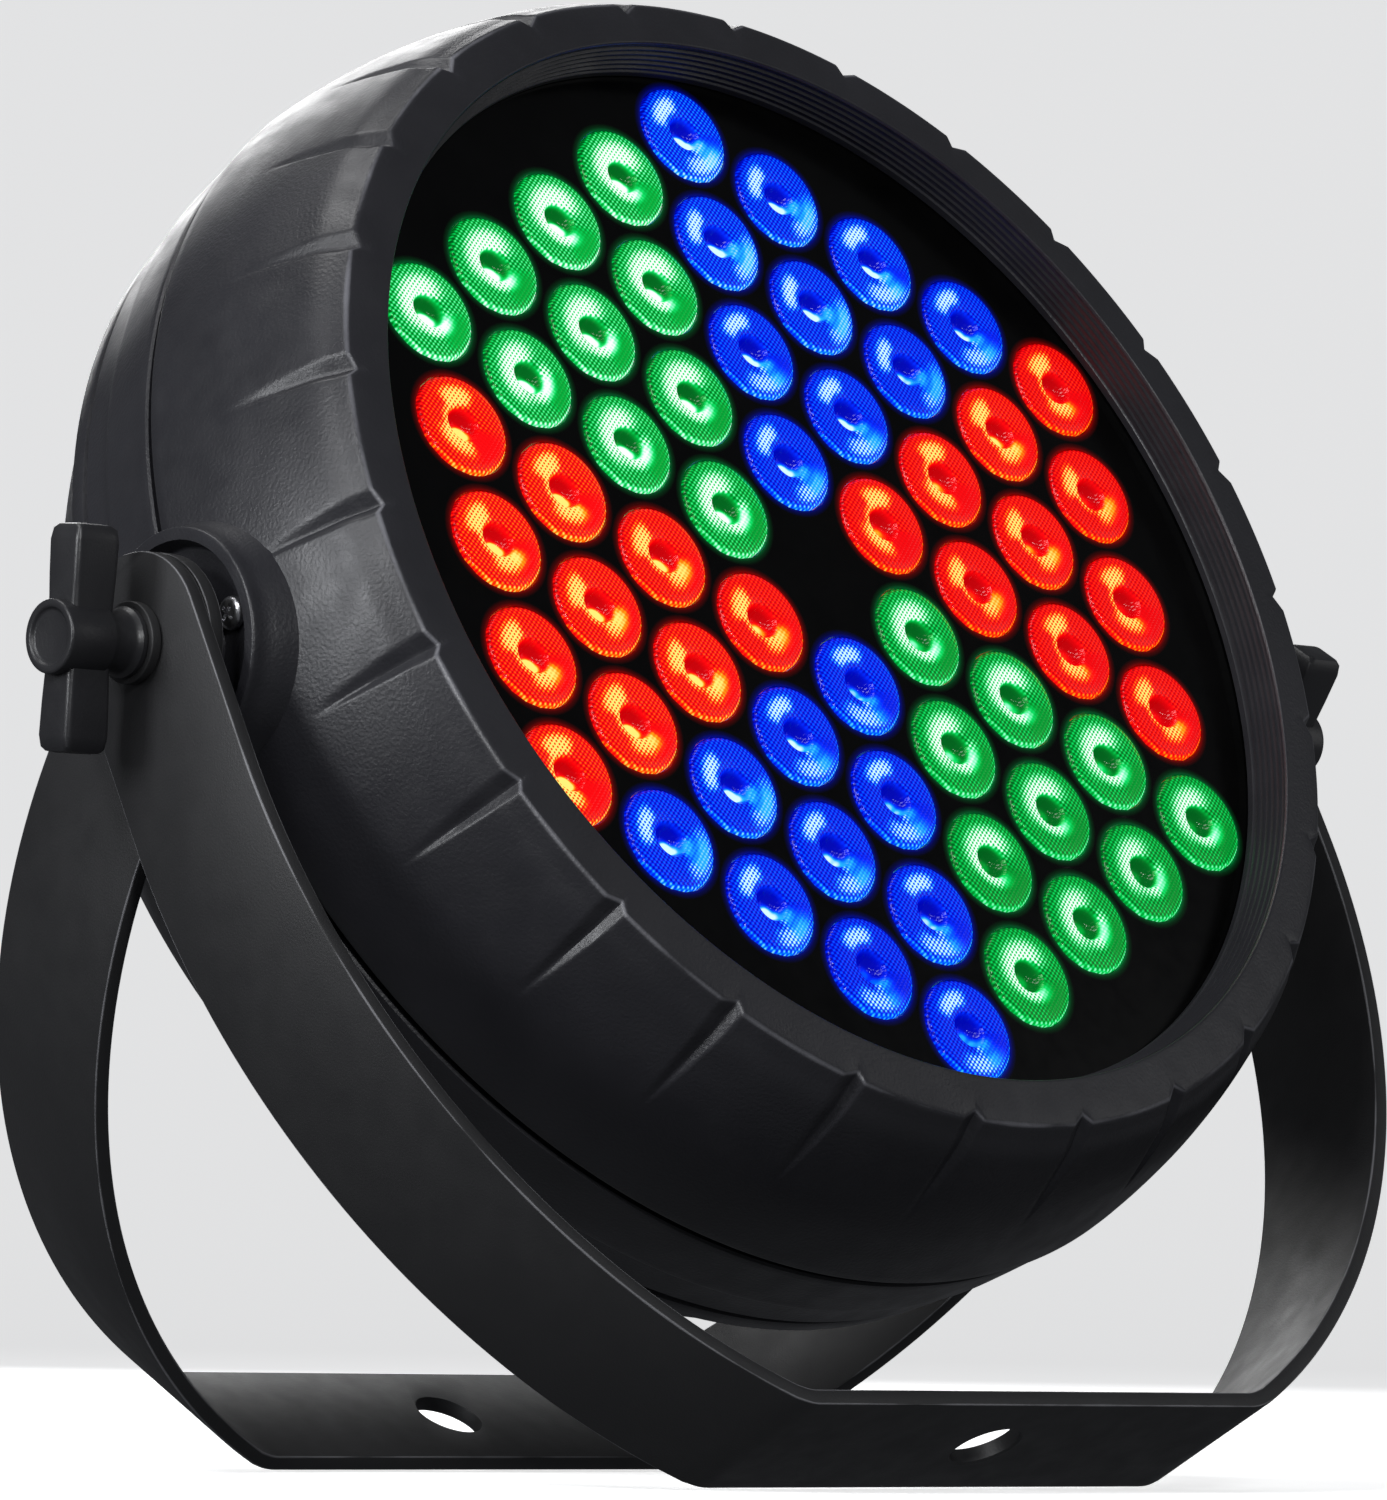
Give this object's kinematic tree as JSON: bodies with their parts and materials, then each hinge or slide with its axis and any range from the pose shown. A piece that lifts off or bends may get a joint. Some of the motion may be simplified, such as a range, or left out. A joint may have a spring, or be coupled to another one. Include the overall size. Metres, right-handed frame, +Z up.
{
  "type": "LED par can light",
  "caption": "Slim round LED stage wash light with a ring of colour lenses, held by two hinged strap brackets that spread into a floor stand.",
  "frame": {"origin": "centre of the overall bounding box at floor level, the lamp standing on both brackets", "axes": "+Z up; the lamp faces -Y and tilts up 25 degrees; +X along the pivot axis, to the right when the lamp is seen from the front"},
  "size_m": [0.3162, 0.2066, 0.272],
  "materials": {
    "shell_plastic": "satin black moulded shell",
    "gloss_plate": "glossy black face plate",
    "bracket_paint": "black powder coat",
    "knob_plastic": "satin black knob",
    "bright_steel": "zinc-plated steel",
    "fibre": "dark fibre friction disc",
    "led_board": "white-coated aluminium-core board",
    "cast_aluminium": "bare heat sink",
    "supply_case": "potted supply in a thin case",
    "circuit_board": "green circuit board",
    "panel_paint": "fine texture black paint",
    "display_glass": "smoked display window",
    "button_rubber": "grey rubber button",
    "socket_plastic": "black socket plastic",
    "socket_metal": "nickel-plated socket shell",
    "lens_blue": "clear moulded lens lit blue",
    "lens_red": "clear moulded lens lit red",
    "lens_green": "clear moulded lens lit green"
  },
  "bodies": {
    "head": {"front_housing": "shell_plastic", "rear_housing": "shell_plastic", "left_pivot_boss": "shell_plastic", "right_pivot_boss": "shell_plastic", "face_plate": "gloss_plate", "lens_array_blue_top": "lens_blue", "lens_array_blue_bottom": "lens_blue", "lens_array_red_right": "lens_red", "lens_array_red_left": "lens_red", "lens_array_green_right": "lens_green", "lens_array_green_left": "lens_green", "led_board": "led_board", "heat_sink": "cast_aluminium", "power_supply": "supply_case", "control_board": "circuit_board", "rear_panel": "panel_paint", "display_window": "display_glass", "signal_input": "socket_metal", "signal_output": "socket_metal", "power_inlet": "socket_plastic", "fuse_holder": "socket_plastic", "safety_eye": "bright_steel", "panel_screw_1": "bright_steel", "panel_screw_2": "bright_steel", "panel_screw_3": "bright_steel", "panel_screw_4": "bright_steel", "shell_screw_1": "bright_steel", "shell_screw_2": "bright_steel", "shell_screw_3": "bright_steel", "shell_screw_4": "bright_steel", "left_boss_screw_front": "bright_steel", "left_boss_screw_rear": "bright_steel", "right_boss_screw_front": "bright_steel", "right_boss_screw_rear": "bright_steel", "left_friction_disc": "fibre", "right_friction_disc": "fibre"},
    "front_foot": {"front_bracket": "bracket_paint"},
    "rear_foot": {"rear_bracket": "bracket_paint"},
    "left_clamp_washer": {"left_knob_washer": "bracket_paint"},
    "left_clamp_knob": {"left_knob": "knob_plastic", "left_stud": "bright_steel"},
    "right_clamp_washer": {"right_knob_washer": "bracket_paint"},
    "right_clamp_knob": {"right_knob": "knob_plastic", "right_stud": "bright_steel"},
    "menu_key": {"menu_button": "button_rubber"},
    "down_key": {"down_button": "button_rubber"},
    "up_key": {"up_button": "button_rubber"},
    "enter_key": {"enter_button": "button_rubber"}
  },
  "joints": [
    {"name": "front_bracket_hinge", "type": "hinge", "parent": "head", "child": "front_foot", "pos_m": [0, -0.01596, 0.14369], "axis": [1, 0, 0], "range_deg": [-145, 22]},
    {"name": "rear_bracket_hinge", "type": "hinge", "parent": "head", "child": "rear_foot", "pos_m": [0, -0.01596, 0.14369], "axis": [1, 0, 0], "range_deg": [-22, 145]},
    {"name": "left_clamp_slide", "type": "slide", "parent": "head", "child": "left_clamp_washer", "axis": [-1, 0, 0], "range_m": [0, 0.0025]},
    {"name": "left_knob_turn", "type": "hinge", "parent": "left_clamp_washer", "child": "left_clamp_knob", "pos_m": [0, -0.01596, 0.14369], "axis": [-1, 0, 0], "range_deg": [0, 720]},
    {"name": "right_clamp_slide", "type": "slide", "parent": "head", "child": "right_clamp_washer", "axis": [1, 0, 0], "range_m": [0, 0.0025]},
    {"name": "right_knob_turn", "type": "hinge", "parent": "right_clamp_washer", "child": "right_clamp_knob", "pos_m": [0, -0.01596, 0.14369], "axis": [1, 0, 0], "range_deg": [0, 720]},
    {"name": "menu_press", "type": "slide", "parent": "head", "child": "menu_key", "axis": [0, -0.9063, 0.4226], "range_m": [0, 0.0008], "stiffness_N_per_m": 300},
    {"name": "down_press", "type": "slide", "parent": "head", "child": "down_key", "axis": [0, -0.9063, 0.4226], "range_m": [0, 0.0008], "stiffness_N_per_m": 300},
    {"name": "up_press", "type": "slide", "parent": "head", "child": "up_key", "axis": [0, -0.9063, 0.4226], "range_m": [0, 0.0008], "stiffness_N_per_m": 300},
    {"name": "enter_press", "type": "slide", "parent": "head", "child": "enter_key", "axis": [0, -0.9063, 0.4226], "range_m": [0, 0.0008], "stiffness_N_per_m": 300}
  ],
  "couplings": [
    {"joint": "left_knob_turn", "follows": "left_clamp_slide", "rad_per_m": 5026.5},
    {"joint": "right_knob_turn", "follows": "right_clamp_slide", "rad_per_m": 5026.5}
  ]
}
